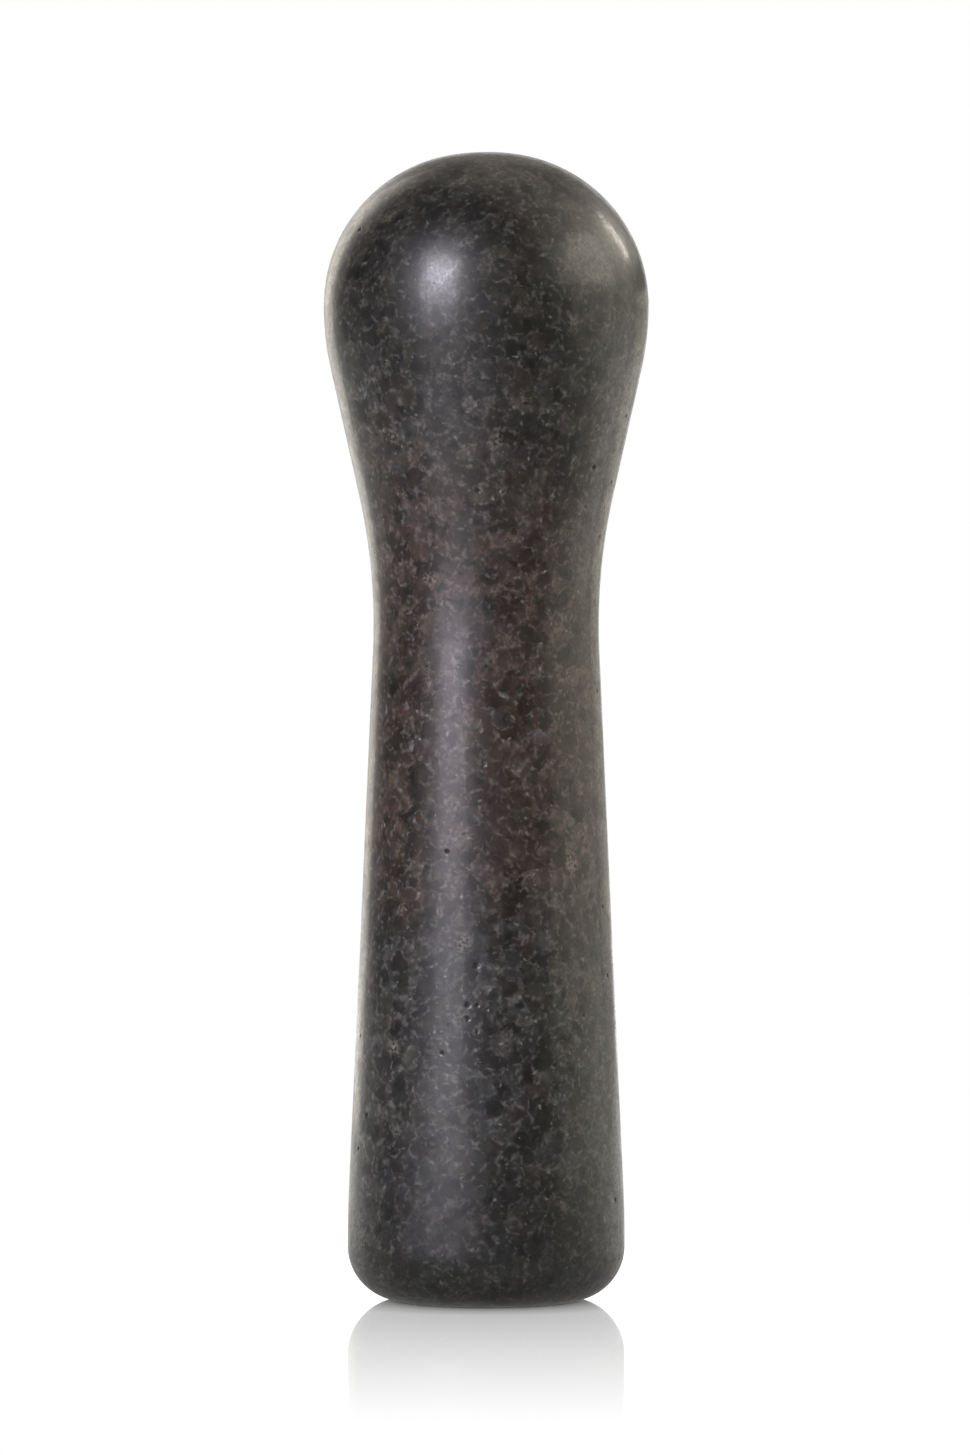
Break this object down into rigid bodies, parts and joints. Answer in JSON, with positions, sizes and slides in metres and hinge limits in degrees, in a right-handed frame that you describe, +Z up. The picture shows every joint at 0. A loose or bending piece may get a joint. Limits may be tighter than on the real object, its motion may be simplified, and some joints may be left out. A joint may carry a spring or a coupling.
{
  "type": "pestle",
  "caption": "Solid stone pestle with a ball head for crushing spices, a drawn-in neck for the hand, and a shaft that widens to a flat foot with a round edge.",
  "frame": {"origin": "centre of the flat foot, on the surface that the pestle stands on", "axes": "+Z up along the turning axis, from the foot to the head; X and Y are alike, because the body is round"},
  "size_m": [0.0454, 0.0454, 0.16],
  "materials": {
    "granite": "satin"
  },
  "bodies": {
    "root": {"pestle": "granite"}
  },
  "joints": []
}
